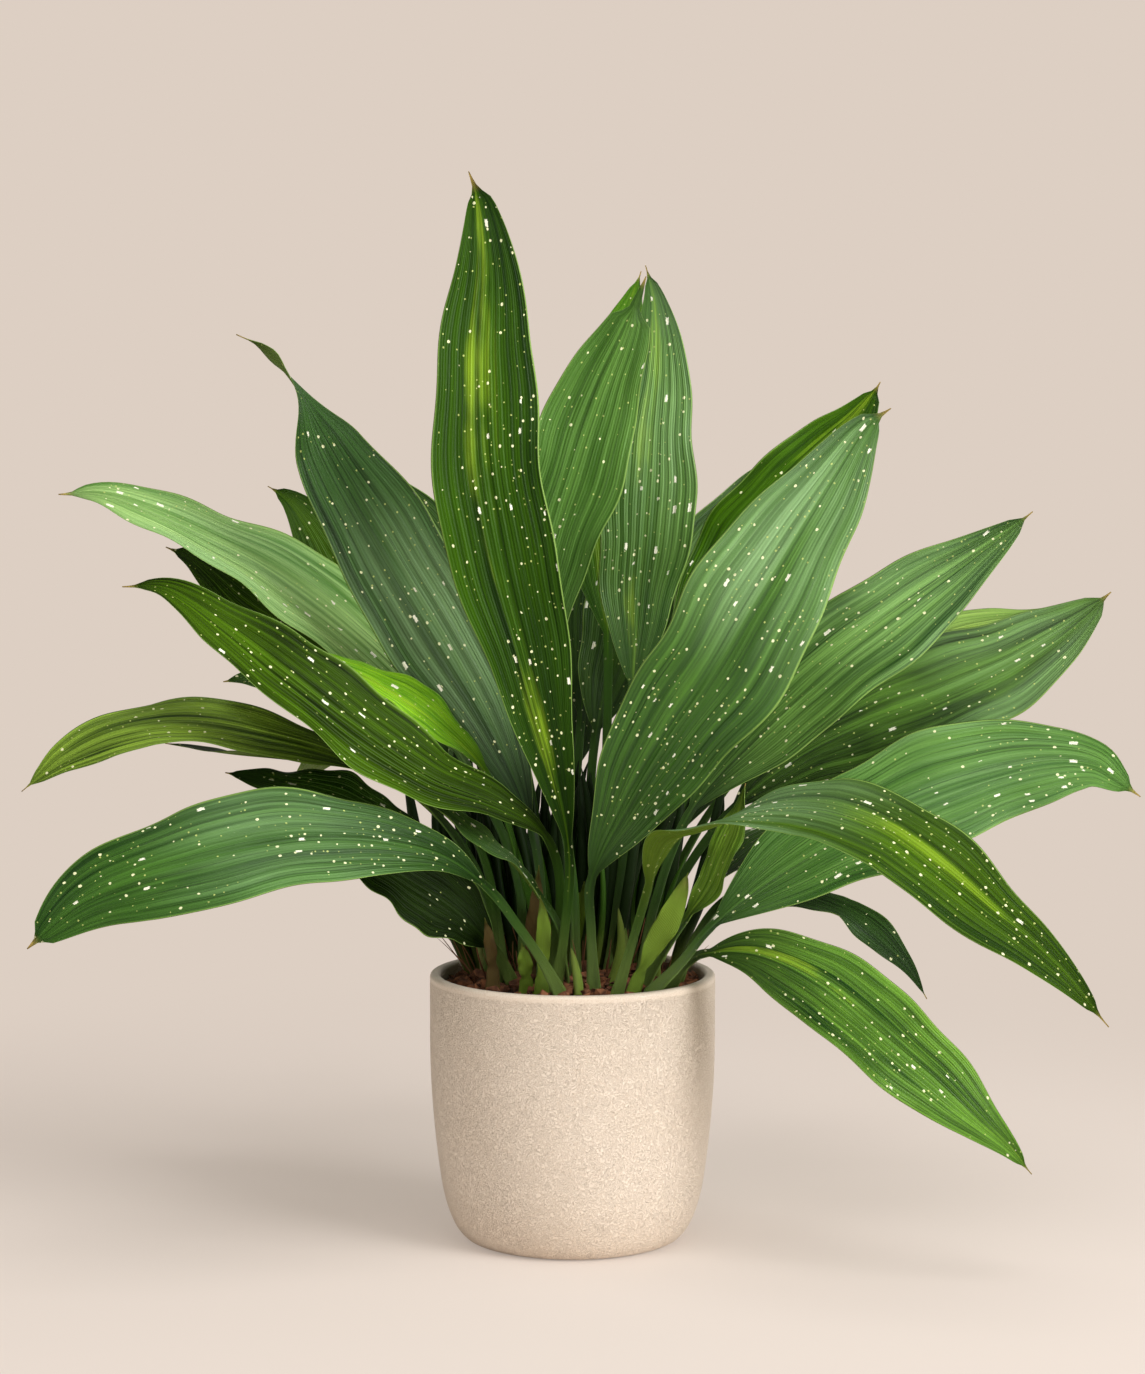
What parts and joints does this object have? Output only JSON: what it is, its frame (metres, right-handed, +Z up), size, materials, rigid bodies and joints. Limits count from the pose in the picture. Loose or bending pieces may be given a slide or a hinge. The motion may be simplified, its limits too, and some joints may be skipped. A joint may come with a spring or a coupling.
{
  "type": "potted cast iron plant",
  "caption": "Cast iron plant with long pleated, speckled leaves on slim stalks that rise from rhizomes in a round stoneware pot of soil.",
  "frame": {"origin": "centre of the pot's foot, on the surface that the pot stands on", "axes": "+Z up along the pot's axis; the plant's front looks along -Y; +X to the right seen from the front"},
  "size_m": [0.7168, 0.5917, 0.7022],
  "materials": {
    "stoneware": "unglazed sandy stoneware with a fine pitted grain and a smooth lip",
    "soil": "dark bark and peat mix",
    "rhizome": "scaly brown root stock",
    "leaf_green": "satin leathery leaf with cream flecks",
    "leaf_yellow_green": "satin leathery leaf, yellow-green, with cream flecks",
    "leaf_dark": "satin leathery leaf, blue-green, with cream flecks",
    "sheath": "pale olive papery sheath",
    "dry_sheath": "dry brown sheath",
    "shoot": "pale green young shoot"
  },
  "bodies": {
    "root": {"leaf_back_arching": "leaf_green", "leaf_back_centre_dark": "leaf_dark", "leaf_back_centre_olive": "leaf_green", "leaf_back_far_left": "leaf_green", "leaf_back_far_right": "leaf_green", "leaf_back_left_high": "leaf_green", "leaf_back_left_low": "leaf_green", "leaf_back_right_high": "leaf_green", "leaf_back_right_low": "leaf_green", "leaf_centre_behind": "leaf_dark", "leaf_centre_pale": "leaf_green", "leaf_centre_right": "leaf_green", "leaf_centre_tall": "leaf_yellow_green", "leaf_left_arching": "leaf_green", "leaf_left_back": "leaf_green", "leaf_left_behind": "leaf_green", "leaf_left_edge_on": "leaf_green", "leaf_left_hidden": "leaf_green", "leaf_left_high": "leaf_dark", "leaf_left_level": "leaf_green", "leaf_left_low": "leaf_green", "leaf_left_reaching": "leaf_green", "leaf_left_shaded": "leaf_green", "leaf_left_slim": "leaf_green", "leaf_left_sloping": "leaf_green", "leaf_left_young": "leaf_yellow_green", "leaf_right_broad": "leaf_green", "leaf_right_drooping": "leaf_dark", "leaf_right_high": "leaf_green", "leaf_right_low": "leaf_green", "leaf_right_middle": "leaf_green", "leaf_right_pale": "leaf_green", "leaf_right_strap": "leaf_yellow_green", "leaf_right_striped": "leaf_yellow_green", "leaf_right_twisted": "leaf_yellow_green", "leaf_right_wide": "leaf_dark", "pot": "stoneware", "potting_soil": "soil", "rhizome_back_left": "rhizome", "rhizome_back_right": "rhizome", "rhizome_front": "rhizome", "rhizome_left": "rhizome", "rhizome_right": "rhizome", "sheath_back": "sheath", "sheath_broad": "sheath", "sheath_brown": "dry_sheath", "sheath_dry_left": "dry_sheath", "sheath_pale": "sheath", "sheath_stub": "sheath", "shoot_low": "shoot", "shoot_pale": "shoot"}
  },
  "joints": []
}
